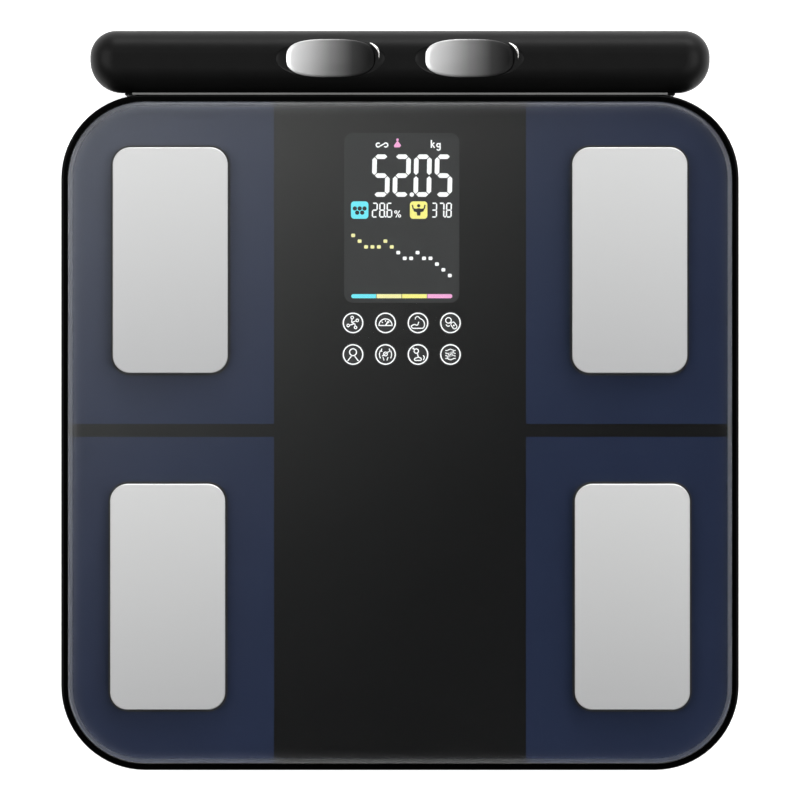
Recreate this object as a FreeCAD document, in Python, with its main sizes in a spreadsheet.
import FreeCAD, Part
import math
import os
from types import SimpleNamespace

import Sketcher

# Digital body-composition scale: a square glass platform on four weighing feet, with a hand bar
# that rests in a cradle behind it. Millimetres. The origin is on the floor under the centre of
# the whole outline, +Z up, +Y towards the hand bar, +X to the right of the person standing on it.

SIZES = {
    # Platform outline and stack, from the floor up.
    "platform_width": 310.0,
    "platform_depth": 309.0,
    "platform_corner": 38.4,
    "platform_y": -14.8125,
    "ground_clearance": 4.0,
    "floor_thickness": 2.0,
    "housing_wall": 2.2,
    "housing_edge_round": 3.0,
    "split_height": 14.0,
    "deck_under": 18.4,
    "deck_top": 20.8,
    "frame_top": 25.4,
    "frame_wall": 3.0,
    "frame_edge_round": 1.2,
    "rim_width": 3.2,
    "film_thickness": 0.15,
    "bond_gap": 0.05,
    "film_margin": 1.0,
    "glass_thickness": 5.0,
    "glass_edge_round": 2.0,
    "glass_hole_radius": 3.2,
    # Foot electrodes.
    "electrode_width": 52.6,
    "electrode_length": 103.3,
    "electrode_corner": 8.0,
    "electrode_thickness": 0.6,
    "electrode_bevel": 0.3,
    "electrode_rear_x": 105.05,
    "electrode_rear_y": 78.7,
    "electrode_front_x": 106.25,
    "electrode_front_y": 75.2,
    "stud_radius": 2.0,
    "stud_length": 11.0,
    "nut_circumradius": 4.04,
    "nut_height": 3.2,
    # Display.
    "display_x": 0.8,
    "display_y": 98.2,
    "display_width": 52.7,
    "display_length": 77.7,
    "display_corner": 4.1,
    "display_margin": 2.0,
    "lcd_thickness": 2.0,
    "backlight_thickness": 3.0,
    "holder_wall": 1.6,
    "holder_clearance": 0.3,
    # Weighing feet.
    "foot_x": 118.0,
    "foot_y": 117.0,
    "foot_radius": 20.0,
    "foot_hole_radius": 21.0,
    "foot_flange_radius": 23.0,
    "foot_pillar_radius": 5.0,
    "pad_height": 1.6,
    "pad_radius": 17.0,
    "foot_disc_top": 6.3,
    "foot_flange_top": 7.3,
    "cell_side": 42.0,
    "cell_corner": 4.0,
    "cell_bottom": 8.0,
    "cell_thickness": 2.0,
    "cell_frame": 6.0,
    "cell_slot": 3.0,
    # Electronics board, unit switch and its button.
    "board_x": 70.0,
    "board_y": 20.0,
    "board_width": 56.0,
    "board_length": 90.0,
    "board_bottom": 11.0,
    "board_thickness": 1.6,
    "button_x": 70.0,
    "button_y": 30.0,
    "button_radius": 4.0,
    "button_travel": 0.5,
    "switch_side": 6.0,
    "switch_height": 3.5,
    # Battery compartment, four AAA cells side by side.
    "battery_y": -85.0,
    "battery_radius": 5.25,
    "battery_length": 44.5,
    "battery_pitch": 11.2,
    "compartment_width": 52.0,
    "compartment_depth": 50.0,
    "compartment_roof": 17.2,
    "compartment_wall": 1.0,
    "door_gap": 0.2,
    "door_thickness": 2.0,
    # Reel that takes up the hand bar's lead.
    "reel_y": 10.0,
    "reel_radius": 32.0,
    "reel_hub_radius": 22.0,
    "reel_bottom": 7.4,
    "reel_flange": 1.0,
    "reel_height": 5.8,
    "axle_radius": 2.5,
    "running_gap": 0.05,
    "reel_cover_radius": 34.0,
    "reel_cover_bottom": 13.8,
    "reel_cover_thickness": 1.2,
    "reel_post_x": 30.0,
    # Hand bar and the cradle that it rests in.
    "bar_length": 284.0,
    "bar_depth": 28.65,
    "bar_height": 22.0,
    "bar_y": 169.8,
    "bar_middle": 17.3,
    "bar_round": 10.9,
    "bar_rear_corner": 11.9,
    "bar_front_corner": 14.9,
    "bar_wall": 2.4,
    "cut_spare": 2.0,
    "cradle_length": 251.6,
    "cradle_top": 25.0,
    "cradle_rear": 181.0,
    "cradle_clearance": 0.35,
    "lift_clearance": 0.1,
    "strip_length": 244.8,
    "strip_height": 9.0,
    "thumb_x": 31.8,
    "thumb_y": 1.2,
    "thumb_length": 40.6,
    "thumb_width": 17.4,
    "thumb_end_radius": 7.2,
    "thumb_proud": 0.5,
    "thumb_seat": 26.6,
    "thumb_gap": 0.25,
    "dish_length": 50.0,
    "dish_width": 19.4,
    "dish_depth": 1.6,
    "finger_x": 36.0,
    "finger_length": 58.0,
    "finger_width": 13.0,
    "finger_end_radius": 5.6,
    "finger_seat": 7.4,
    "magnet_radius": 3.4,
    "magnet_x": 100.0,
    "bar_screw_x": 80.0,
    "screw_shank_radius": 1.15,
    "screw_bore_radius": 1.2,
    "screw_head_radius": 2.3,
    "screw_head_height": 1.6,
    "boss_radius": 3.5,
    # Small fittings.
    "screw_clearance_radius": 1.4,
    "screw_sink_radius": 2.6,
    "screw_depth": 1.8,
    "drive_length": 3.2,
    "drive_width": 0.7,
    "drive_depth": 0.7,
    "housing_screw_x": 60.0,
    "housing_screw_y": 138.0,
    "housing_screw_side_x": 140.0,
    "housing_screw_length": 9.0,
    "housing_post_height": 2.0,
    "reel_post_radius": 3.0,
    "reel_screw_length": 4.0,
    "reel_cover_corner": 6.0,
    "axle_boss_gap": 0.2,
    "spring_band": 0.3,
    "mainspring_growth": 1.6,
    "mainspring_height": 2.8,
    "cell_wall": 2.3,
    "cell_gap": 0.4,
    "foot_edge_round": 1.0,
    "pad_bevel": 0.5,
    "button_recess": 0.2,
    "button_gap": 0.3,
    "button_flange": 0.7,
    "stem_radius": 1.5,
    "stem_length": 3.0,
    "battery_gap": 0.3,
    "battery_nub": 0.9,
    "battery_tip_radius": 1.8,
    "spring_width": 5.0,
    "spring_thickness": 0.3,
    "contact_side": 9.0,
    "contact_thickness": 0.4,
    "bevel_land": 0.1,
    "door_tab_x": 18.0,
    "door_tab_width": 8.0,
    "door_tab_height": 1.3,
    "door_tab_reach": 1.8,
    "door_tab_root": 3.6,
    "door_tab_play": 1.0,
    "knuckle_radius": 0.5,
    "latch_width": 14.0,
    "latch_thickness": 1.0,
    "latch_height": 4.0,
    "latch_inset": 1.2,
    "cradle_round": 2.0,
    "strip_depth": 3.7,
    "cradle_screw_x": 34.0,
    "cradle_screw_z": 9.5,
    "cradle_screw_depth": 3.0,
    "cradle_magnet_height": 1.4,
    "bar_magnet_height": 2.0,
    "bar_boss_height": 4.6,
    "bar_screw_length": 11.0,
    "bushing_radius": 4.5,
    "bushing_height": 1.8,
    "lead_bore_radius": 1.7,
    "gland_flange": 1.2,
    "gland_lift": 0.5,
    "lead_radius": 0.8,
    "lead_bend": 3.0,
    "lead_gap": 0.2,
    "lead_pitch": 3.0,
}

CORNERS = {
    "rear_left": (-1, 1),
    "rear_right": (1, 1),
    "front_left": (-1, -1),
    "front_right": (1, -1),
}
SIDES = {"left": -1, "right": 1}

# What is soldered on the board: width, depth and height, then its middle from the board's own.
BOARD_BLOCKS = {
    "processor": (10, 10, 1.4, 0, 0),
    "radio_module": (13, 17, 2.2, 0, 32),
    "bridge_amplifier": (6, 5, 1.2, 0, -18),
    "sensor_socket": (14, 4, 2.8, -14, -40),
    "electrode_socket": (14, 4, 2.8, 8.5, -40),
    "display_socket": (20, 3.4, 2.0, -14, 40),
}

# The round ones: radius and height, then the middle.
BOARD_CANS = {
    "capacitor": (2.5, 3.0, 20, -10),
    "sounder": (4.5, 2.6, 18, 10),
}

doc = FreeCAD.newDocument("body_composition_scale")
sheet = doc.addObject("Spreadsheet::Sheet", "Sizes")
for row, (alias, number) in enumerate(SIZES.items(), start=1):
    sheet.set(f"A{row}", alias)
    sheet.set(f"B{row}", str(number))
    sheet.setAlias(f"B{row}", alias)
doc.recompute()


class Length:
    """A size: its value in millimetres and the sheet expression that gives it."""

    def __init__(self, value, text):
        self.value = value
        self.text = text

    def __add__(self, other):
        other = length(other)
        return Length(self.value + other.value, f"({self.text} + {other.text})")

    def __sub__(self, other):
        other = length(other)
        return Length(self.value - other.value, f"({self.text} - {other.text})")

    def __mul__(self, other):
        other = length(other)
        return Length(self.value * other.value, f"({self.text} * {other.text})")

    def __truediv__(self, other):
        other = length(other)
        return Length(self.value / other.value, f"({self.text} / {other.text})")

    def __neg__(self):
        return Length(0, "0") - self

    __radd__ = __add__
    __rmul__ = __mul__

    def __rsub__(self, other):
        return length(other) - self


def length(size):
    """A plain number or a Length, as a Length."""
    if isinstance(size, Length):
        return size
    return Length(float(size), repr(float(size)) if size >= 0 else f"(0 - {-float(size)})")


d = SimpleNamespace(**{k: Length(v, f"Sizes.{k}") for k, v in SIZES.items()})
nodes = []


# ---- making sketches and features -------------------------------------------------------------


def bind(thing, prop, size):
    """Tie a property of a document object to the sheet."""
    thing.setExpression(prop, length(size).text)


def node(thing, label):
    """Name an object as a sub-part and put it where the platform or the bar is."""
    thing.Label = label
    bind(thing, "Placement.Base.y", d.platform_y)
    nodes.append(thing)
    return thing


def new_body(label):
    """A PartDesign body that is a sub-part."""
    return node(doc.addObject("PartDesign::Body", label), label)


def new_sketch(body, name, x=0, y=0, z=0, plane="XY_Plane"):
    """A sketch on one of the body's origin planes, shifted within it and along its normal."""
    drawing = body.newObject("Sketcher::SketchObject", name)
    support = next(f for f in body.Origin.OriginFeatures if f.Role == plane)
    drawing.AttachmentSupport = (support, [""])
    drawing.MapMode = "FlatFace"
    for axis, offset in (("x", x), ("y", y), ("z", z)):
        bind(drawing, f".AttachmentOffset.Base.{axis}", offset)
    return drawing


def constrain(drawing, name, size, kind, *where):
    """Add a named dimension and tie it to the sheet."""
    index = drawing.addConstraint(Sketcher.Constraint(kind, *where, length(size).value))
    drawing.renameConstraint(index, name)
    bind(drawing, f"Constraints.{name}", size)


def pin_point(drawing, name, item, point, x, y):
    """Hold one point of a sketch item at x, y from the sketch's own origin."""
    for axis, place in (("X", length(x)), ("Y", length(y))):
        if place.value < 0:
            constrain(drawing, name + axis, -place, "Distance" + axis, item, point, -1, 1)
        else:
            constrain(drawing, name + axis, place, "Distance" + axis, -1, 1, item, point)


def add_rounded_rectangle(drawing, width, depth, corner, far_corner=None):
    """A centred rectangle with round corners; far_corner is the radius at the +Y side."""
    far_corner = corner if far_corner is None else far_corner
    half_x, half_y = length(width).value / 2, length(depth).value / 2
    near, far = length(corner).value, length(far_corner).value
    centres = ((1, -1, near), (1, 1, far), (-1, 1, far), (-1, -1, near))
    items = []
    for quarter, (sx, sy, radius) in enumerate(centres):
        centre = FreeCAD.Vector(sx * (half_x - radius), sy * (half_y - radius), 0)
        circle = Part.Circle(centre, FreeCAD.Vector(0, 0, 1), radius)
        start = (quarter - 1) * math.pi / 2
        items.append(drawing.addGeometry(Part.ArcOfCircle(circle, start, start + math.pi / 2), False))
    lines = []
    for here, there in zip(items, items[1:] + items[:1]):
        begin = drawing.Geometry[here].EndPoint
        end = drawing.Geometry[there].StartPoint
        line = drawing.addGeometry(Part.LineSegment(begin, end), False)
        drawing.addConstraint(Sketcher.Constraint("Tangent", here, 2, line, 1))
        drawing.addConstraint(Sketcher.Constraint("Tangent", line, 2, there, 1))
        lines.append(line)
    right, top, left, bottom = lines
    drawing.addConstraint(Sketcher.Constraint("Vertical", right))
    drawing.addConstraint(Sketcher.Constraint("Horizontal", top))
    drawing.addConstraint(Sketcher.Constraint("Vertical", left))
    drawing.addConstraint(Sketcher.Constraint("Horizontal", bottom))
    drawing.addConstraint(Sketcher.Constraint("Equal", items[0], items[3]))
    drawing.addConstraint(Sketcher.Constraint("Equal", items[1], items[2]))
    constrain(drawing, "near_corner", corner, "Radius", items[0])
    constrain(drawing, "far_corner", far_corner, "Radius", items[1])
    constrain(drawing, "half_width", length(width) / 2, "DistanceX", -1, 1, right, 1)
    constrain(drawing, "half_width_left", length(width) / 2, "DistanceX", left, 1, -1, 1)
    constrain(drawing, "half_depth", length(depth) / 2, "DistanceY", -1, 1, top, 1)
    constrain(drawing, "half_depth_near", length(depth) / 2, "DistanceY", bottom, 1, -1, 1)


def add_rectangle(drawing, width, depth):
    """A centred rectangle with square corners."""
    half_x, half_y = length(width).value / 2, length(depth).value / 2
    signs = ((-1, -1), (1, -1), (1, 1), (-1, 1))
    points = [FreeCAD.Vector(sx * half_x, sy * half_y, 0) for sx, sy in signs]
    lines = []
    for begin, end in zip(points, points[1:] + points[:1]):
        lines.append(drawing.addGeometry(Part.LineSegment(begin, end), False))
    for here, there in zip(lines, lines[1:] + lines[:1]):
        drawing.addConstraint(Sketcher.Constraint("Coincident", here, 2, there, 1))
    for line, (sx, sy) in zip(lines, signs):
        pin_point(drawing, f"point{line}", line, 1, sx * length(width) / 2, sy * length(depth) / 2)


def add_circle(drawing, radius, x=0, y=0):
    """A circle with its centre at x, y."""
    centre = FreeCAD.Vector(length(x).value, length(y).value, 0)
    circle = Part.Circle(centre, FreeCAD.Vector(0, 0, 1), length(radius).value)
    item = drawing.addGeometry(circle, False)
    constrain(drawing, f"radius{item}", radius, "Radius", item)
    pin_point(drawing, f"centre{item}", item, 3, x, y)


def add_oval(drawing, long_side, short_side, end_radius):
    """A centred oval of four tangent arcs: round ends and long bowed sides."""
    a, b, r = length(long_side) / 2, length(short_side) / 2, length(end_radius)
    side_radius = ((a - r) * (a - r) + b * b - r * r) / ((b - r) * 2)
    end_centre, side_centre = (a - r).value, (side_radius - b).value
    lean = math.atan2(side_centre, end_centre)
    up = FreeCAD.Vector(0, 0, 1)
    right = Part.Circle(FreeCAD.Vector(end_centre, 0, 0), up, r.value)
    top = Part.Circle(FreeCAD.Vector(0, -side_centre, 0), up, side_radius.value)
    left = Part.Circle(FreeCAD.Vector(-end_centre, 0, 0), up, r.value)
    bottom = Part.Circle(FreeCAD.Vector(0, side_centre, 0), up, side_radius.value)
    arcs = (
        Part.ArcOfCircle(right, -lean, lean),
        Part.ArcOfCircle(top, lean, math.pi - lean),
        Part.ArcOfCircle(left, math.pi - lean, math.pi + lean),
        Part.ArcOfCircle(bottom, math.pi + lean, 2 * math.pi - lean),
    )
    items = [drawing.addGeometry(arc, False) for arc in arcs]
    for here, there in zip(items, items[1:] + items[:1]):
        drawing.addConstraint(Sketcher.Constraint("Tangent", here, 2, there, 1))
    pin_point(drawing, "right_end", items[0], 3, a - r, 0)
    pin_point(drawing, "left_end", items[2], 3, r - a, 0)
    constrain(drawing, "end_radius", r, "Radius", items[0])
    drawing.addConstraint(Sketcher.Constraint("Equal", items[0], items[2]))
    constrain(drawing, "side_radius", side_radius, "Radius", items[1])
    drawing.addConstraint(Sketcher.Constraint("Equal", items[1], items[3]))


def pad(body, drawing, height, reverse=False, midplane=False):
    """Pad a sketch along its normal."""
    feature = body.newObject("PartDesign::Pad", drawing.Name + "_pad")
    feature.Profile = drawing
    feature.Reversed = reverse
    feature.Midplane = midplane
    bind(feature, "Length", height)
    doc.recompute()
    return feature


def pocket(body, drawing, depth, reverse=False, midplane=False):
    """Cut a sketch into the body, against its normal, or along it when reversed."""
    before = body.Shape.Volume
    feature = body.newObject("PartDesign::Pocket", drawing.Name + "_pocket")
    feature.Profile = drawing
    feature.Reversed = reverse
    feature.Midplane = midplane
    bind(feature, "Length", depth)
    doc.recompute()
    if body.Shape.Volume >= before:
        raise RuntimeError(f"{body.Label}: {drawing.Name} cuts nothing")
    return feature


def edges_at(body, height):
    """The names of the body's outer edges that lie flat at one height."""
    shape = body.Tip.Shape
    level = length(height).value
    flat = [
        (f"Edge{i}", edge.BoundBox)
        for i, edge in enumerate(shape.Edges, start=1)
        if abs(edge.BoundBox.ZMin - level) < 1e-4 and abs(edge.BoundBox.ZMax - level) < 1e-4
    ]
    return [name for name, box in flat]


def round_edges(body, edges, radius):
    """Round the named edges of the body."""
    base = body.Tip
    feature = body.newObject("PartDesign::Fillet", body.Name + "_round")
    feature.Base = (base, edges)
    bind(feature, "Radius", radius)
    doc.recompute()
    return feature


def bevel_edges(body, edges, size):
    """Chamfer the named edges of the body."""
    base = body.Tip
    feature = body.newObject("PartDesign::Chamfer", body.Name + "_bevel")
    feature.Base = (base, edges)
    bind(feature, "Size", size)
    doc.recompute()
    return feature


def hollow(body, face_level, wall):
    """Turn the body into a shell that is open at its flat face at one height."""
    level = length(face_level).value
    faces = [
        f"Face{i}"
        for i, face in enumerate(body.Tip.Shape.Faces, start=1)
        if abs(face.BoundBox.ZMin - level) < 1e-4 and abs(face.BoundBox.ZMax - level) < 1e-4
    ]
    base = body.Tip
    feature = body.newObject("PartDesign::Thickness", body.Name + "_hollow")
    feature.Base = (base, faces)
    feature.Reversed = True
    bind(feature, "Value", wall)
    doc.recompute()
    return feature


def cylinder(name, radius, height, x=0, y=0, z=0):
    """A Part cylinder standing at x, y, from z up."""
    thing = doc.addObject("Part::Cylinder", name)
    bind(thing, "Radius", radius)
    bind(thing, "Height", height)
    place(thing, x, y, z)
    return thing


def block(name, width, depth, height, x=0, y=0, z=0):
    """A Part box centred at x, y, from z up."""
    thing = doc.addObject("Part::Box", name)
    bind(thing, "Length", width)
    bind(thing, "Width", depth)
    bind(thing, "Height", height)
    place(thing, length(x) - length(width) / 2, length(y) - length(depth) / 2, z)
    return thing


def place(thing, x, y, z):
    """Tie an object's place to the sheet."""
    for axis, offset in (("x", x), ("y", y), ("z", z)):
        bind(thing, f"Placement.Base.{axis}", offset)


def cut(name, base, tool):
    thing = doc.addObject("Part::Cut", name)
    thing.Base = base
    thing.Tool = tool
    return thing


def fuse(name, *things):
    thing = doc.addObject("Part::MultiFuse", name)
    thing.Shapes = list(things)
    return thing


def group(label, things):
    """Several separate solids of one kind as one sub-part."""
    thing = doc.addObject("Part::Compound", label)
    thing.Links = list(things)
    return node(thing, label)


def screw(name, x, y, seat, shank, driven_up=True):
    """A pan-head screw whose head bears at the seat height."""
    head_z = length(seat) - d.screw_head_height if driven_up else length(seat)
    shank_z = length(seat) if driven_up else length(seat) - shank
    drive_z = head_z if driven_up else head_z + d.screw_head_height - d.drive_depth
    head = cylinder(name + "_head", d.screw_head_radius, d.screw_head_height, x, y, head_z)
    bars = (
        block(name + "_slot", d.drive_length, d.drive_width, d.drive_depth, x, y, drive_z),
        block(name + "_cross", d.drive_width, d.drive_length, d.drive_depth, x, y, drive_z),
    )
    driven = cut(name + "_driven_head", head, fuse(name + "_drive", *bars))
    body = cylinder(name + "_shank", d.screw_shank_radius, shank, x, y, shank_z)
    return fuse(name, driven, body)


def face_y(thing, x, y, z):
    """Turn an upright object so that its +Z points along +Y, and put its origin at x, y, z."""
    thing.Placement.Rotation = FreeCAD.Rotation(FreeCAD.Vector(1, 0, 0), -90)
    place(thing, x, y, z)
    return thing


# ---- heights worked out from the driving sizes ------------------------------------------------

floor_top = d.ground_clearance + d.floor_thickness
film_top = d.deck_top + d.film_thickness
glass_bottom = film_top + d.bond_gap
glass_top = glass_bottom + d.glass_thickness
glass_width = d.platform_width - d.rim_width * 2
glass_depth = d.platform_depth - d.rim_width * 2
glass_corner = d.platform_corner - d.rim_width
lcd_width = d.display_width + d.display_margin * 2
lcd_length = d.display_length + d.display_margin * 2
board_top = d.board_bottom + d.board_thickness
housing_screw_seat = d.ground_clearance + d.screw_depth
housing_screws_at = (
    (-d.housing_screw_x, d.housing_screw_y),
    (d.housing_screw_x, d.housing_screw_y),
    (-d.housing_screw_x, -d.housing_screw_y),
    (d.housing_screw_x, -d.housing_screw_y),
    (-d.housing_screw_side_x, length(0)),
    (d.housing_screw_side_x, length(0)),
)
reel_posts_at = [(d.reel_post_x * sx, d.reel_y + d.reel_post_x * sy) for sx, sy in CORNERS.values()]


def electrode_centre(corner):
    """Where a foot electrode's middle is: the front pair stands a little wider apart."""
    sx, sy = CORNERS[corner]
    if sy > 0:
        return d.electrode_rear_x * sx, d.electrode_rear_y
    return d.electrode_front_x * sx, -d.electrode_front_y


# ---- casings ----------------------------------------------------------------------------------


def lower_housing():
    """The tray under everything, with the battery compartment and the posts moulded in."""
    body = new_body("lower_housing")
    outline = new_sketch(body, "outline", z=d.ground_clearance)
    add_rounded_rectangle(outline, d.platform_width, d.platform_depth, d.platform_corner)
    pad(body, outline, d.split_height - d.ground_clearance)
    round_edges(body, edges_at(body, d.ground_clearance), d.housing_edge_round)
    inside = new_sketch(body, "inside", z=d.split_height)
    inner_corner = d.platform_corner - d.housing_wall
    inner_width = d.platform_width - d.housing_wall * 2
    inner_depth = d.platform_depth - d.housing_wall * 2
    add_rounded_rectangle(inside, inner_width, inner_depth, inner_corner)
    pocket(body, inside, d.split_height - floor_top)
    compartment = new_sketch(body, "compartment_walls", y=d.battery_y, z=floor_top - 1)
    outer = (d.compartment_width + d.compartment_wall * 2, d.compartment_depth + d.compartment_wall * 2)
    add_rectangle(compartment, *outer)
    pad(body, compartment, d.compartment_roof + d.compartment_wall - floor_top + 1)
    posts = new_sketch(body, "posts", z=floor_top - 1)
    for x, y in housing_screws_at:
        add_circle(posts, d.boss_radius + 1, x, y)
    pad(body, posts, d.housing_post_height + 1)
    reel_posts = new_sketch(body, "reel_posts", z=floor_top - 1)
    for x, y in reel_posts_at:
        add_circle(reel_posts, d.reel_post_radius, x, y)
    pad(body, reel_posts, d.reel_cover_bottom - floor_top + 1)
    axle_boss = new_sketch(body, "axle_boss", z=floor_top - 1)
    add_circle(axle_boss, d.axle_radius * 2, 0, d.reel_y)
    pad(body, axle_boss, d.reel_bottom - d.axle_boss_gap - floor_top + 1)
    opening = new_sketch(body, "battery_opening", y=d.battery_y, z=d.ground_clearance)
    add_rectangle(opening, d.compartment_width, d.compartment_depth)
    pocket(body, opening, d.compartment_roof - d.ground_clearance, reverse=True)
    for side, sx in SIDES.items():
        notch_y = d.battery_y - d.compartment_depth / 2 - d.compartment_wall / 2
        notch = new_sketch(body, f"tab_notch_{side}", d.door_tab_x * sx, notch_y, floor_top)
        add_rectangle(notch, d.door_tab_width + d.door_tab_play, d.compartment_wall)
        pocket(body, notch, d.door_tab_height * 2, reverse=True)
        groove_depth = d.knuckle_radius + d.door_gap
        groove_y = d.battery_y - d.compartment_depth / 2 - groove_depth / 2
        groove = new_sketch(body, f"knuckle_groove_{side}", d.door_tab_x * sx, groove_y, floor_top)
        add_rectangle(groove, d.door_tab_width + d.door_tab_play, groove_depth)
        pocket(body, groove, groove_depth)
    feet = new_sketch(body, "foot_holes", z=d.ground_clearance)
    for sx, sy in CORNERS.values():
        add_circle(feet, d.foot_hole_radius, d.foot_x * sx, d.foot_y * sy)
    pocket(body, feet, d.floor_thickness, reverse=True)
    holes = new_sketch(body, "screw_holes", z=d.ground_clearance)
    for x, y in housing_screws_at:
        add_circle(holes, d.screw_clearance_radius, x, y)
    pocket(body, holes, d.floor_thickness + d.housing_post_height, reverse=True)
    sinks = new_sketch(body, "screw_sinks", z=d.ground_clearance)
    for x, y in housing_screws_at:
        add_circle(sinks, d.screw_sink_radius, x, y)
    pocket(body, sinks, d.screw_depth, reverse=True)
    button = new_sketch(body, "button_hole", z=d.ground_clearance)
    add_circle(button, d.button_radius + d.button_gap, d.button_x, d.button_y)
    pocket(body, button, d.floor_thickness, reverse=True)
    axle_hole = new_sketch(body, "axle_hole", z=floor_top - 1)
    add_circle(axle_hole, d.axle_radius + d.running_gap / 2, 0, d.reel_y)
    pocket(body, axle_hole, d.reel_bottom - floor_top + 1, reverse=True)
    pilots = new_sketch(body, "reel_screw_pilots", z=d.reel_cover_bottom)
    for x, y in reel_posts_at:
        add_circle(pilots, d.screw_bore_radius, x, y)
    pocket(body, pilots, d.reel_screw_length)
    rear = new_sketch(body, "cradle_screw_holes", z=d.housing_wall - d.platform_depth / 2, plane="XZ_Plane")
    for x in cradle_screws_at():
        add_circle(rear, d.screw_clearance_radius, x, d.cradle_screw_z)
    pocket(body, rear, d.housing_wall)


def top_frame():
    """The frame that carries the glass, with its rim, deck and the seats over the load cells."""
    body = new_body("top_frame")
    outline = new_sketch(body, "outline", z=d.split_height)
    add_rounded_rectangle(outline, d.platform_width, d.platform_depth, d.platform_corner)
    pad(body, outline, d.frame_top - d.split_height)
    round_edges(body, edges_at(body, d.frame_top), d.frame_edge_round)
    inner = (d.platform_width - d.frame_wall * 2, d.platform_depth - d.frame_wall * 2)
    inner_corner = d.platform_corner - d.frame_wall
    tray = new_sketch(body, "glass_tray", z=d.frame_top)
    add_rounded_rectangle(tray, *inner, inner_corner)
    pocket(body, tray, d.frame_top - d.deck_top)
    under = new_sketch(body, "underside", z=d.split_height)
    add_rounded_rectangle(under, *inner, inner_corner)
    pocket(body, under, d.deck_under - d.split_height, reverse=True)
    seat_height = d.cell_bottom + d.cell_thickness
    for corner, (sx, sy) in CORNERS.items():
        x, y = d.foot_x * sx, d.foot_y * sy
        walls = new_sketch(body, f"cell_walls_{corner}", x, y, d.cell_bottom)
        add_rectangle(walls, d.cell_side + d.cell_wall * 2, d.cell_side + d.cell_wall * 2)
        pad(body, walls, d.deck_under - d.cell_bottom)
        seat = new_sketch(body, f"cell_seat_{corner}", x, y, d.cell_bottom)
        add_rectangle(seat, d.cell_side + d.cell_gap, d.cell_side + d.cell_gap)
        pocket(body, seat, d.cell_thickness, reverse=True)
        relief = new_sketch(body, f"cell_relief_{corner}", x, y, seat_height)
        add_rectangle(relief, d.cell_side - d.cell_frame * 2, d.cell_side - d.cell_frame * 2)
        pocket(body, relief, d.deck_under - seat_height, reverse=True)
    post_bottom = floor_top + d.housing_post_height
    posts = new_sketch(body, "posts", z=post_bottom)
    for x, y in housing_screws_at:
        add_circle(posts, d.boss_radius, x, y)
    pad(body, posts, d.deck_under - post_bottom)
    pilots = new_sketch(body, "screw_pilots", z=post_bottom)
    for x, y in housing_screws_at:
        add_circle(pilots, d.screw_bore_radius, x, y)
    pocket(body, pilots, d.deck_under - post_bottom - 1, reverse=True)
    window = new_sketch(body, "display_window", d.display_x, d.display_y, d.deck_top)
    add_rectangle(window, lcd_width + d.holder_clearance * 2, lcd_length + d.holder_clearance * 2)
    pocket(body, window, d.deck_top - d.deck_under)
    studs = new_sketch(body, "stud_holes", z=d.deck_top)
    for corner in CORNERS:
        add_circle(studs, d.stud_radius + d.holder_clearance, *electrode_centre(corner))
    pocket(body, studs, d.deck_top - d.deck_under)


def glass_platform():
    """The tempered glass plate that is stood on, with its four electrode holes."""
    body = new_body("glass_platform")
    outline = new_sketch(body, "outline", z=glass_bottom)
    add_rounded_rectangle(outline, glass_width, glass_depth, glass_corner)
    pad(body, outline, d.glass_thickness)
    round_edges(body, edges_at(body, glass_top), d.glass_edge_round)
    holes = new_sketch(body, "electrode_holes", z=glass_top)
    for corner in CORNERS:
        add_circle(holes, d.glass_hole_radius, *electrode_centre(corner))
    pocket(body, holes, d.glass_thickness)


def decor_film():
    """The printed film bonded under the glass, open over the display."""
    body = new_body("decor_film")
    outline = new_sketch(body, "outline", z=d.deck_top)
    margin = d.film_margin * 2
    film_corner = glass_corner - d.film_margin
    add_rounded_rectangle(outline, glass_width - margin, glass_depth - margin, film_corner)
    pad(body, outline, d.film_thickness)
    window = new_sketch(body, "display_window", d.display_x, d.display_y, film_top)
    add_rounded_rectangle(window, d.display_width, d.display_length, d.display_corner)
    pocket(body, window, d.film_thickness)
    holes = new_sketch(body, "electrode_holes", z=film_top)
    for corner in CORNERS:
        add_circle(holes, d.glass_hole_radius, *electrode_centre(corner))
    pocket(body, holes, d.film_thickness)


# ---- foot electrodes --------------------------------------------------------------------------


def foot_electrodes():
    """Four steel plates on the glass, each with a stud through it and a nut under the deck."""
    nuts = []
    for corner in CORNERS:
        x, y = electrode_centre(corner)
        body = new_body(f"foot_electrode_{corner}")
        plate = new_sketch(body, "plate", x, y, glass_top)
        add_rounded_rectangle(plate, d.electrode_width, d.electrode_length, d.electrode_corner)
        pad(body, plate, d.electrode_thickness)
        bevel_edges(body, edges_at(body, glass_top + d.electrode_thickness), d.electrode_bevel)
        stud = new_sketch(body, "stud", x, y, glass_top)
        add_circle(stud, d.stud_radius)
        pad(body, stud, d.stud_length, reverse=True)
        hexagon = doc.addObject("Part::Prism", f"nut_{corner}_hexagon")
        hexagon.Polygon = 6
        bind(hexagon, "Circumradius", d.nut_circumradius)
        bind(hexagon, "Height", d.nut_height)
        place(hexagon, x, y, d.deck_under - d.nut_height)
        bore_z = d.deck_under - d.nut_height - 1
        bore = cylinder(f"nut_{corner}_bore", d.stud_radius + d.running_gap, d.nut_height + 2, x, y, bore_z)
        nuts.append(cut(f"nut_{corner}", hexagon, bore))
    group("electrode_nuts", nuts)


# ---- display and electronics ------------------------------------------------------------------


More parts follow.
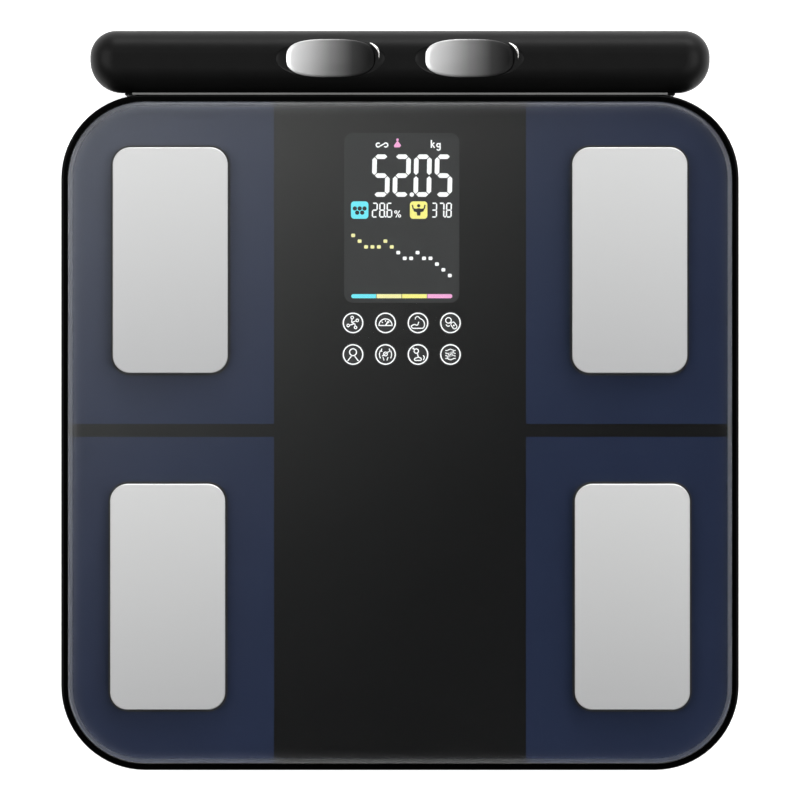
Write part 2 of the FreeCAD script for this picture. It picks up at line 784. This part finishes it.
def display():
    """The display panel in the deck's window, its backlight and the holder that clips them up."""
    backlight_z = d.deck_top - d.lcd_thickness - d.backlight_thickness
    x, y = d.display_x, d.display_y
    panel_size = (lcd_width, lcd_length, d.lcd_thickness)
    panel = block("panel", *panel_size, x, y, d.deck_top - d.lcd_thickness)
    group("lcd_panel", [panel])
    guide_size = (lcd_width, lcd_length, d.backlight_thickness)
    group("lcd_backlight", [block("light_guide", *guide_size, x, y, backlight_z)])
    wide = d.holder_clearance * 2
    walls = (d.holder_clearance + d.holder_wall) * 2
    holder_z = backlight_z - d.holder_wall
    case_size = (lcd_width + walls, lcd_length + walls, d.deck_under - holder_z)
    case = block("holder_case", *case_size, x, y, holder_z)
    well = block("holder_well", lcd_width + wide, lcd_length + wide, d.deck_under, x, y, backlight_z)
    node(cut("lcd_holder", case, well), "lcd_holder")


def electronics():
    """The board, what is soldered on it, and the unit switch under it."""
    size = (d.board_width, d.board_length, d.board_thickness)
    group("main_board", [block("board", *size, d.board_x, d.board_y, d.board_bottom)])
    parts = []
    for name, (width, depth, height, x, y) in BOARD_BLOCKS.items():
        parts.append(block(name, width, depth, height, d.board_x + x, d.board_y + y, board_top))
    for name, (radius, height, x, y) in BOARD_CANS.items():
        parts.append(cylinder(name, radius, height, d.board_x + x, d.board_y + y, board_top))
    group("board_parts", parts)
    switch_bottom = d.board_bottom - d.switch_height
    case_size = (d.switch_side, d.switch_side, d.switch_height)
    case = block("switch_case", *case_size, d.button_x, d.button_y, switch_bottom)
    well_depth = d.switch_height - d.floor_thickness / 3
    well = cylinder("switch_well", d.stem_radius + 0.2, well_depth, d.button_x, d.button_y, switch_bottom)
    node(cut("unit_switch", case, well), "unit_switch")


def unit_button():
    """The small button under the platform that changes the unit of weight."""
    body = new_body("unit_button")
    cap_bottom = d.ground_clearance + d.button_recess
    cap = new_sketch(body, "cap", d.button_x, d.button_y, cap_bottom)
    add_circle(cap, d.button_radius)
    pad(body, cap, floor_top + d.button_recess - cap_bottom)
    flange = new_sketch(body, "flange", d.button_x, d.button_y, floor_top + d.button_recess)
    add_circle(flange, d.button_radius + 1)
    pad(body, flange, d.button_flange)
    stem = new_sketch(body, "stem", d.button_x, d.button_y, floor_top + d.button_recess)
    add_circle(stem, d.stem_radius)
    pad(body, stem, d.stem_length)
    bevel_edges(body, edges_at(body, cap_bottom), d.button_recess)


# ---- weighing feet ----------------------------------------------------------------------------


def weighing_feet():
    """At each corner a steel load cell, the foot that bears on its tongue, and a rubber pad."""
    inner = d.cell_side - d.cell_frame * 2
    for corner, (sx, sy) in CORNERS.items():
        x, y = d.foot_x * sx, d.foot_y * sy
        cell = new_body(f"load_cell_{corner}")
        plate = new_sketch(cell, "plate", x, y, d.cell_bottom)
        add_rounded_rectangle(plate, d.cell_side, d.cell_side, d.cell_corner)
        pad(cell, plate, d.cell_thickness)
        slot = new_sketch(cell, "slot", x, y, d.cell_bottom)
        add_rectangle(slot, inner, inner)
        pocket(cell, slot, d.cell_thickness, reverse=True)
        tongue = new_sketch(cell, "tongue", x, y + d.cell_slot / 2 * sy, d.cell_bottom)
        add_rectangle(tongue, inner - d.cell_slot * 4, inner - d.cell_slot)
        pad(cell, tongue, d.cell_thickness)

        foot = new_body(f"foot_{corner}")
        disc = new_sketch(foot, "disc", x, y, d.pad_height)
        add_circle(disc, d.foot_radius)
        pad(foot, disc, d.foot_disc_top - d.pad_height)
        round_edges(foot, edges_at(foot, d.pad_height), d.foot_edge_round)
        flange = new_sketch(foot, "flange", x, y, d.foot_disc_top)
        add_circle(flange, d.foot_flange_radius)
        pad(foot, flange, d.foot_flange_top - d.foot_disc_top)
        pillar = new_sketch(foot, "pillar", x, y, d.foot_flange_top)
        add_circle(pillar, d.foot_pillar_radius)
        pad(foot, pillar, d.cell_bottom - d.foot_flange_top)

        rubber = new_body(f"foot_pad_{corner}")
        base = new_sketch(rubber, "base", x, y)
        add_circle(base, d.pad_radius)
        pad(rubber, base, d.pad_height)
        bevel_edges(rubber, edges_at(rubber, 0), d.pad_bevel)
        groove = new_sketch(rubber, "groove", x, y)
        add_circle(groove, d.pad_radius * 0.66)
        add_circle(groove, d.pad_radius * 0.56)
        pocket(rubber, groove, d.pad_height * 0.4, reverse=True)


# ---- batteries --------------------------------------------------------------------------------


def battery_rows():
    """The middle of each battery across the compartment, and which way it points."""
    for index in range(4):
        yield d.battery_y + d.battery_pitch * (index - 1.5), 1 if index % 2 == 0 else -1


def along_x(thing, x, y, z):
    """Lay an upright object so that its +Z points along +X."""
    thing.Placement.Rotation = FreeCAD.Rotation(FreeCAD.Vector(0, 1, 0), 90)
    place(thing, x, y, z)
    return thing


def batteries():
    """Four AAA cells, each held between a bent leaf spring and a contact plate."""
    axis_z = d.compartment_roof - d.battery_radius - d.battery_gap
    nub = d.battery_nub
    can_length = d.battery_length - nub
    plate_x = d.compartment_width / 2 - d.contact_thickness - d.battery_gap
    battery_end = plate_x - d.running_gap
    loop_radius = plate_x - d.battery_length / 2 - d.running_gap
    loop_x = plate_x - loop_radius - d.running_gap / 2
    spring_bottom = axis_z - d.spring_width / 2
    contact_bottom = axis_z - d.contact_side / 2
    springs, plates = [], []
    for number, (y, way) in enumerate(battery_rows(), start=1):
        start = battery_end - d.battery_length if way > 0 else -battery_end
        can = cylinder(f"can_{number}", d.battery_radius, can_length)
        along_x(can, start + (nub if way < 0 else 0), y, axis_z)
        tip = cylinder(f"tip_{number}", d.battery_tip_radius, can_length)
        along_x(tip, start + (0 if way < 0 else nub), y, axis_z)
        cell = fuse(f"battery_{number}", can, tip)
        node(cell, f"battery_{number}")
        loop_at = (-loop_x * way, y, spring_bottom)
        loop = cylinder(f"loop_{number}", loop_radius, d.spring_width, *loop_at)
        eye = cylinder(f"eye_{number}", loop_radius - d.spring_thickness, d.spring_width, *loop_at)
        springs.append(cut(f"spring_{number}", loop, eye))
        for side, sx in SIDES.items():
            plate_at = ((plate_x + d.contact_thickness / 2) * sx, y, contact_bottom)
            plate_size = (d.contact_thickness, d.contact_side, d.contact_side)
            plates.append(block(f"contact_{number}_{side}", *plate_size, *plate_at))
    group("battery_springs", springs)
    group("battery_contacts", plates)


def battery_door():
    """The flush door, with two tabs that hook over the floor's edge and a finger latch."""
    body = new_body("battery_door")
    width = d.compartment_width - d.door_gap * 2
    depth = d.compartment_depth - d.door_gap * 2
    plate = new_sketch(body, "plate", y=d.battery_y, z=d.ground_clearance)
    add_rectangle(plate, width, depth)
    pad(body, plate, d.door_thickness)
    front_edge = d.battery_y - depth / 2
    hinge_edges = [
        f"Edge{i}"
        for i, edge in enumerate(body.Tip.Shape.Edges, start=1)
        if abs(edge.BoundBox.YMax - front_edge.value) < 1e-4
        and abs(edge.BoundBox.ZMax - d.ground_clearance.value) < 1e-4
    ]
    bevel_edges(body, hinge_edges, d.door_thickness - d.bevel_land)
    root_depth = d.door_tab_root - d.door_tab_play
    root_y = front_edge + (d.door_tab_root + d.door_tab_play) / 2
    hook_y = front_edge + (d.door_tab_root - d.door_tab_reach) / 2
    for side, sx in SIDES.items():
        x = d.door_tab_x * sx
        root = new_sketch(body, f"tab_root_{side}", x, root_y, floor_top)
        add_rectangle(root, d.door_tab_width, root_depth)
        pad(body, root, d.door_tab_height)
        hook = new_sketch(body, f"tab_hook_{side}", x, hook_y, floor_top + d.door_gap)
        add_rectangle(hook, d.door_tab_width, d.door_tab_reach + d.door_tab_root)
        pad(body, hook, d.door_tab_height - d.door_gap)
        knuckle_at = (front_edge - d.door_gap, floor_top, x)
        knuckle = new_sketch(body, f"knuckle_{side}", *knuckle_at, plane="YZ_Plane")
        add_circle(knuckle, d.knuckle_radius)
        pad(body, knuckle, d.door_tab_width, midplane=True)
    latch = new_sketch(body, "latch", y=d.battery_y + depth / 2 - d.latch_inset, z=floor_top)
    add_rectangle(latch, d.latch_width, d.latch_thickness)
    pad(body, latch, d.latch_height)
    grip_y = d.battery_y + depth / 2 - d.latch_inset * 4
    grip = new_sketch(body, "finger_grip", y=grip_y, z=d.ground_clearance)
    add_rounded_rectangle(grip, d.latch_width, d.latch_inset * 3, d.latch_inset)
    pocket(body, grip, d.door_thickness / 2, reverse=True)


# ---- reel -------------------------------------------------------------------------------------


def reel():
    """The sprung drum that winds in the hand bar's lead, on its axle under a screwed cover."""
    top = d.reel_bottom + d.reel_height
    drum = new_body("reel_drum")
    bottom_flange = new_sketch(drum, "bottom_flange", y=d.reel_y, z=d.reel_bottom)
    add_circle(bottom_flange, d.reel_radius)
    pad(drum, bottom_flange, d.reel_flange)
    hub = new_sketch(drum, "hub", y=d.reel_y, z=d.reel_bottom)
    add_circle(hub, d.reel_hub_radius)
    pad(drum, hub, d.reel_height)
    top_flange = new_sketch(drum, "top_flange", y=d.reel_y, z=top - d.reel_flange)
    add_circle(top_flange, d.reel_radius)
    pad(drum, top_flange, d.reel_flange)
    well = new_sketch(drum, "spring_well", y=d.reel_y, z=top)
    add_circle(well, d.reel_hub_radius - 2)
    pocket(drum, well, d.reel_height - d.reel_flange * 2)
    bore = new_sketch(drum, "bore", y=d.reel_y, z=top)
    add_circle(bore, d.axle_radius + d.running_gap)
    pocket(drum, bore, d.reel_height)

    axle_z = floor_top - 1
    pin = cylinder("axle_pin", d.axle_radius, d.reel_cover_bottom - axle_z, 0, d.reel_y, axle_z)
    group("reel_axle", [pin])

    spiral = doc.addObject("Part::Spiral", "mainspring_path")
    bind(spiral, "Radius", d.axle_radius + d.spring_band)
    bind(spiral, "Growth", d.mainspring_growth)
    spiral.Rotations = 9
    strip = doc.addObject("Part::Plane", "mainspring_strip")
    bind(strip, "Length", d.spring_band)
    bind(strip, "Width", d.mainspring_height)
    strip.Placement.Rotation = FreeCAD.Rotation(FreeCAD.Vector(1, 0, 0), 90)
    bind(strip, "Placement.Base.x", d.axle_radius + d.spring_band / 2)
    mainspring = doc.addObject("Part::Sweep", "mainspring_band")
    mainspring.Sections = [strip]
    mainspring.Spine = (spiral, [])
    mainspring.Solid = True
    mainspring.Frenet = True
    place(mainspring, 0, d.reel_y, d.reel_bottom + d.reel_flange * 2 + d.spring_band)
    group("reel_spring", [mainspring])

    cover = new_body("reel_cover")
    lid = new_sketch(cover, "lid", y=d.reel_y, z=d.reel_cover_bottom)
    add_rounded_rectangle(lid, d.reel_cover_radius * 2, d.reel_cover_radius * 2, d.reel_cover_corner)
    pad(cover, lid, d.reel_cover_thickness)
    holes = new_sketch(cover, "screw_holes", z=d.reel_cover_bottom)
    for x, y in reel_posts_at:
        add_circle(holes, d.screw_clearance_radius, x, y)
    pocket(cover, holes, d.reel_cover_thickness, reverse=True)
    seat = d.reel_cover_bottom + d.reel_cover_thickness
    screws = [
        screw(f"reel_screw_{i}", x, y, seat, d.reel_screw_length, driven_up=False)
        for i, (x, y) in enumerate(reel_posts_at, start=1)
    ]
    group("reel_screws", screws)


# ---- cradle -----------------------------------------------------------------------------------


def cradle_screws_at():
    return [d.cradle_screw_x * -3, -d.cradle_screw_x, d.cradle_screw_x, d.cradle_screw_x * 3]


def add_bar_section(body, name):
    """The hand bar's section with the cradle's clearance round it, across the platform."""
    section = new_sketch(body, name, d.bar_y, d.bar_middle, plane="YZ_Plane")
    gap = d.cradle_clearance
    add_rounded_rectangle(section, d.bar_depth + gap * 2, d.bar_height + gap * 2, d.bar_round + gap)
    return section


def cut_bar_way(body):
    """Cut the hand bar's section out of a body, open upwards so that the bar lifts straight out."""
    pocket(body, add_bar_section(body, "trough"), d.cradle_length + d.cut_spare, midplane=True)
    height = d.cradle_top - d.bar_middle + d.cut_spare
    way = new_sketch(body, "lift_way", d.bar_y, d.bar_middle + height / 2, plane="YZ_Plane")
    add_rectangle(way, d.bar_depth + d.lift_clearance * 2, height)
    pocket(body, way, d.cradle_length + d.cut_spare, midplane=True)


def cradle():
    """The trough behind the platform that the hand bar lies in, and the bright strip along it."""
    rear_wall = d.platform_depth / 2
    body = new_body("cradle")
    height = d.cradle_top - d.ground_clearance
    middle_y = (rear_wall + d.cradle_rear) / 2
    section = new_sketch(body, "section", middle_y, d.ground_clearance + height / 2, plane="YZ_Plane")
    add_rectangle(section, d.cradle_rear - rear_wall, height)
    pad(body, section, d.cradle_length, midplane=True)
    bottom_rear = [
        f"Edge{i}"
        for i, edge in enumerate(body.Tip.Shape.Edges, start=1)
        if edge.BoundBox.XLength > 1 and abs(edge.BoundBox.YMin - d.cradle_rear.value) < 1e-4
        and abs(edge.BoundBox.ZMax - d.ground_clearance.value) < 1e-4
    ]
    round_edges(body, bottom_rear, d.cradle_round)
    cut_bar_way(body)
    strip_z = d.cradle_top - d.strip_height / 2
    slot = new_sketch(body, "strip_slot", rear_wall + d.strip_depth / 2, strip_z, plane="YZ_Plane")
    add_rectangle(slot, d.strip_depth, d.strip_height)
    pocket(body, slot, d.strip_length, midplane=True)
    holes = new_sketch(body, "screw_holes", z=-rear_wall, plane="XZ_Plane")
    for x in cradle_screws_at():
        add_circle(holes, d.screw_bore_radius, x, d.cradle_screw_z)
    pocket(body, holes, d.cradle_screw_depth + 0.4)
    magnets = new_sketch(body, "magnet_seats", z=d.ground_clearance)
    for sx in SIDES.values():
        add_circle(magnets, d.magnet_radius + d.running_gap, d.magnet_x * sx, d.bar_y)
    pocket(body, magnets, d.cradle_magnet_height, reverse=True)
    outlet = new_sketch(body, "lead_outlet", z=d.ground_clearance)
    add_circle(outlet, d.bushing_radius + d.running_gap, 0, d.bar_y)
    pocket(body, outlet, d.floor_thickness * 2, reverse=True)

    strip = new_body("cradle_strip")
    bright = new_sketch(strip, "bright_strip", rear_wall + d.strip_depth / 2, strip_z, plane="YZ_Plane")
    add_rectangle(bright, d.strip_depth, d.strip_height)
    pad(strip, bright, d.strip_length, midplane=True)
    cut_bar_way(strip)

    discs = []
    for side, sx in SIDES.items():
        disc_at = (d.magnet_x * sx, d.bar_y, d.ground_clearance)
        disc_size = (d.magnet_radius, d.cradle_magnet_height)
        discs.append(cylinder(f"cradle_magnet_{side}", *disc_size, *disc_at))
    group("cradle_magnets", discs)
    bushing_at = (0, d.bar_y, d.ground_clearance)
    outer = cylinder("bushing_body", d.bushing_radius, d.bushing_height, *bushing_at)
    inner = cylinder("bushing_bore", d.lead_bore_radius, d.bushing_height, *bushing_at)
    node(cut("lead_bushing", outer, inner), "lead_bushing")
    screws = []
    for i, x in enumerate(cradle_screws_at(), start=1):
        upright = screw(f"cradle_screw_{i}", 0, 0, 0, d.housing_wall + d.cradle_screw_depth)
        screws.append(face_y(upright, x, rear_wall - d.housing_wall, d.cradle_screw_z))
    group("cradle_screws", screws)


# ---- hand bar ---------------------------------------------------------------------------------


def add_bar_half(body, upper, shift=0):
    """One solid half of the hand bar: a round-ended outline padded up or down and rounded over."""
    outline = new_sketch(body, "outline", y=d.bar_y, z=d.bar_middle + shift)
    add_rounded_rectangle(outline, d.bar_length, d.bar_depth, d.bar_front_corner, d.bar_rear_corner)
    pad(body, outline, d.bar_height / 2, reverse=not upper)
    level = d.bar_middle + shift + (d.bar_height / 2) * (1 if upper else -1)
    round_edges(body, edges_at(body, level), d.bar_round)


def add_bar_boss(body, name, bottom, top, radius):
    """Round bosses for the hand bar's two screws."""
    bosses = new_sketch(body, name, z=bottom)
    for sx in SIDES.values():
        add_circle(bosses, radius, d.bar_screw_x * sx, d.bar_y)
    return bosses, top - bottom


def handle_shells():
    """The hand bar's two shells, dished round the thumb electrodes."""
    bar_top = d.bar_middle + d.bar_height / 2
    bar_bottom = d.bar_middle - d.bar_height / 2
    meet = bar_bottom + d.bar_boss_height
    upper = new_body("handle_top_shell")
    add_bar_half(upper, True)
    hollow(upper, d.bar_middle, d.bar_wall)
    pad(upper, *add_bar_boss(upper, "bosses", meet, bar_top - d.bar_wall / 2, d.boss_radius))
    pilot_top = bar_top - d.bar_wall * 2
    pilots = add_bar_boss(upper, "pilots", meet, pilot_top, d.screw_bore_radius)
    pocket(upper, *pilots, reverse=True)
    for side, sx in SIDES.items():
        dish = upper.newObject("PartDesign::SubtractiveEllipsoid", f"dish_{side}")
        bind(dish, "Radius1", d.dish_depth)
        bind(dish, "Radius2", d.dish_length / 2)
        bind(dish, "Radius3", d.dish_width / 2)
        bind(dish, "AttachmentOffset.Base.x", d.thumb_x * sx)
        bind(dish, "AttachmentOffset.Base.y", d.bar_y + d.thumb_y)
        bind(dish, "AttachmentOffset.Base.z", bar_top)
        ground = next(f for f in upper.Origin.OriginFeatures if f.Role == "XY_Plane")
        dish.AttachmentSupport = (ground, [""])
        dish.MapMode = "FlatFace"
        doc.recompute()
        upper.Tip = dish
        seat = new_sketch(upper, f"thumb_seat_{side}", d.thumb_x * sx, d.bar_y + d.thumb_y, bar_top)
        gap = d.thumb_gap
        add_oval(seat, d.thumb_length + gap * 2, d.thumb_width + gap * 2, d.thumb_end_radius + gap)
        pocket(upper, seat, bar_top - d.thumb_seat)

    lower = new_body("handle_bottom_shell")
    add_bar_half(lower, False)
    hollow(lower, d.bar_middle, d.bar_wall)
    pad(lower, *add_bar_boss(lower, "bosses", bar_bottom + d.bar_wall / 2, meet, d.boss_radius))
    pocket(lower, *add_bar_boss(lower, "holes", bar_bottom, meet, d.screw_clearance_radius), reverse=True)
    sinks, depth = add_bar_boss(lower, "sinks", bar_bottom, bar_bottom + d.screw_depth, d.screw_sink_radius)
    pocket(lower, sinks, depth, reverse=True)
    for side, sx in SIDES.items():
        seat = new_sketch(lower, f"finger_seat_{side}", d.finger_x * sx, d.bar_y, bar_bottom)
        gap = d.running_gap
        add_oval(seat, d.finger_length + gap * 2, d.finger_width + gap * 2, d.finger_end_radius + gap)
        pocket(lower, seat, d.finger_seat - bar_bottom, reverse=True)
    gland = new_sketch(lower, "gland_hole", z=bar_bottom)
    add_circle(gland, d.bushing_radius + d.running_gap, 0, d.bar_y)
    pocket(lower, gland, d.bar_wall * 2, reverse=True)


def handle_electrodes():
    """Two thumb plates on top and two finger plates below, shaped to the bar's own surface."""
    for side, sx in SIDES.items():
        form = doc.addObject("PartDesign::Body", f"thumb_form_{side}")
        add_bar_half(form, True, d.thumb_proud)
        blank = doc.addObject("PartDesign::Body", f"thumb_blank_{side}")
        oval = new_sketch(blank, "oval", d.thumb_x * sx, d.bar_y + d.thumb_y, d.thumb_seat)
        add_oval(oval, d.thumb_length, d.thumb_width, d.thumb_end_radius)
        pad(blank, oval, d.bar_height / 4)
        thumb = doc.addObject("Part::MultiCommon", f"thumb_electrode_{side}")
        thumb.Shapes = [blank, form]
        node(thumb, f"thumb_electrode_{side}")

        under_form = doc.addObject("PartDesign::Body", f"finger_form_{side}")
        add_bar_half(under_form, False)
        under_blank = doc.addObject("PartDesign::Body", f"finger_blank_{side}")
        under = new_sketch(under_blank, "oval", d.finger_x * sx, d.bar_y, d.finger_seat)
        add_oval(under, d.finger_length, d.finger_width, d.finger_end_radius)
        pad(under_blank, under, d.bar_height / 4, reverse=True)
        finger = doc.addObject("Part::MultiCommon", f"finger_electrode_{side}")
        finger.Shapes = [under_blank, under_form]
        node(finger, f"finger_electrode_{side}")


def handle_fittings():
    """The hand bar's magnets, screws and the gland that its lead leaves by."""
    bar_bottom = d.bar_middle - d.bar_height / 2
    inside = bar_bottom + d.bar_wall
    seat = bar_bottom + d.screw_depth
    discs, screws = [], []
    for side, sx in SIDES.items():
        disc_size = (d.magnet_radius, d.bar_magnet_height)
        discs.append(cylinder(f"handle_magnet_{side}", *disc_size, d.magnet_x * sx, d.bar_y, inside))
        screw_at = (d.bar_screw_x * sx, d.bar_y, seat)
        screws.append(screw(f"handle_screw_{side}", *screw_at, d.bar_screw_length))
    group("handle_magnets", discs)
    group("handle_screws", screws)
    throat = cylinder("gland_throat", d.bushing_radius, d.bar_wall + d.gland_lift, 0, d.bar_y, bar_bottom)
    flange_radius = d.bushing_radius + d.gland_flange
    flange = cylinder("gland_flange", flange_radius, d.gland_flange, 0, d.bar_y, inside + d.gland_lift)
    bore = cylinder("gland_bore", d.lead_bore_radius, d.bar_height / 2, 0, d.bar_y, bar_bottom - 1)
    node(cut("lead_gland", fuse("gland_body", throat, flange), bore), "lead_gland")


# ---- internal leads ---------------------------------------------------------------------------


def lead(points):
    """A round lead along straight runs joined by tangent arcs."""
    points = [FreeCAD.Vector(*(length(c).value for c in p)) for p in points]
    edges = []
    here = points[0]
    for before, corner, after in zip(points, points[1:], points[2:]):
        back, ahead = (before - corner).normalize(), (after - corner).normalize()
        half_turn = (math.pi - back.getAngle(ahead)) / 2
        reach = d.lead_bend.value * math.tan(half_turn)
        start, end = corner + back * reach, corner + ahead * reach
        bisector = (back + ahead).normalize()
        centre = corner + bisector * (d.lead_bend.value / math.cos(half_turn))
        middle = centre - bisector * d.lead_bend.value
        edges.append(Part.LineSegment(here, start).toShape())
        edges.append(Part.Arc(start, middle, end).toShape())
        here = end
    edges.append(Part.LineSegment(here, points[-1]).toShape())
    path = Part.Wire(edges)
    circle = Part.Circle(points[0], points[1] - points[0], d.lead_radius.value)
    tube = path.makePipeShell([Part.Wire([circle.toShape()])], True, True)
    section = math.pi * d.lead_radius.value ** 2
    if abs(tube.Volume - section * path.Length) > 0.02 * tube.Volume:
        raise RuntimeError("a lead's volume is not its section times its length")
    return tube


def leads():
    """The leads from the four load cells and from the four foot electrodes to the board."""
    low = floor_top + d.lead_radius + d.lead_gap
    cell_edge = d.foot_x - d.cell_side / 2 - d.cell_wall
    beside_board = d.board_x + d.board_width / 2 - d.lead_pitch * 4
    board_front = d.board_y - d.board_length / 2
    board_rear = d.board_y + d.board_length / 2
    left_rise_x = beside_board - d.lead_pitch * 8
    near_side = board_front + d.lead_pitch * 2
    far_side = board_rear - d.lead_pitch * 2
    cell_leads = []
    for y, rise_y, way in ((-d.foot_y, near_side, -1), (d.foot_y, far_side, 1)):
        right = [(cell_edge, y), (beside_board, y), (beside_board, rise_y)]
        turn_x = d.lead_pitch * 4 - cell_edge
        lane_y = rise_y + d.lead_pitch * 5 * way
        left = [(-cell_edge, y), (turn_x, y), (turn_x, lane_y), (left_rise_x, lane_y)]
        if way < 0:
            left.append((left_rise_x, rise_y))
        for route in (right, left):
            end_x, end_y = route[-1]
            cell_leads.append([(x, y, low) for x, y in route] + [(end_x, end_y, d.board_bottom)])
    bundle(cell_leads, "load_cell_leads")

    high = d.deck_under - d.nut_height - d.lead_radius - d.lead_gap
    clear = d.nut_circumradius + d.lead_radius
    socket_y = board_front + d.lead_pitch
    electrode_leads = []
    for lane, corner in enumerate(("rear_right", "front_right", "rear_left", "front_left"), start=1):
        x, y = electrode_centre(corner)
        start_y = y - clear * CORNERS[corner][1]
        lane_y = board_front - d.lead_pitch * 2 * lane
        end_x = beside_board - d.lead_pitch * lane
        route = [(x, start_y), (x, lane_y), (end_x, lane_y), (end_x, socket_y)]
        electrode_leads.append([(along, across, high) for along, across in route])
    bundle(electrode_leads, "electrode_leads")


def bundle(routes, label):
    """Several leads as one sub-part."""
    thing = doc.addObject("Part::Feature", label)
    thing.Shape = Part.makeCompound([lead(route) for route in routes])
    node(thing, label)


# ---- the whole scale --------------------------------------------------------------------------

lower_housing()
top_frame()
glass_platform()
decor_film()
foot_electrodes()
display()
electronics()
unit_button()
weighing_feet()
batteries()
battery_door()
reel()
cradle()
handle_shells()
handle_electrodes()
handle_fittings()
leads()
housing_screws = [
    screw(f"housing_screw_{i}", x, y, housing_screw_seat, d.housing_screw_length)
    for i, (x, y) in enumerate(housing_screws_at, start=1)
]
group("housing_screws", housing_screws)
doc.recompute()

for thing in doc.Objects:
    if "Invalid" in thing.State or "Error" in thing.State:
        raise RuntimeError(f"{thing.Label}: {thing.State}")
for thing in nodes:
    if thing.Shape.isNull() or not thing.Shape.isValid() or not thing.Shape.Solids:
        raise RuntimeError(f"{thing.Label}: its shape is not a valid solid")

os.makedirs("parts", exist_ok=True)
for thing in nodes:
    thing.Shape.exportStep(f"parts/{thing.Label}.step")
    box = thing.Shape.BoundBox
    print(f"{thing.Label:28s} solids {len(thing.Shape.Solids)}  z {box.ZMin:6.2f} to {box.ZMax:6.2f}")
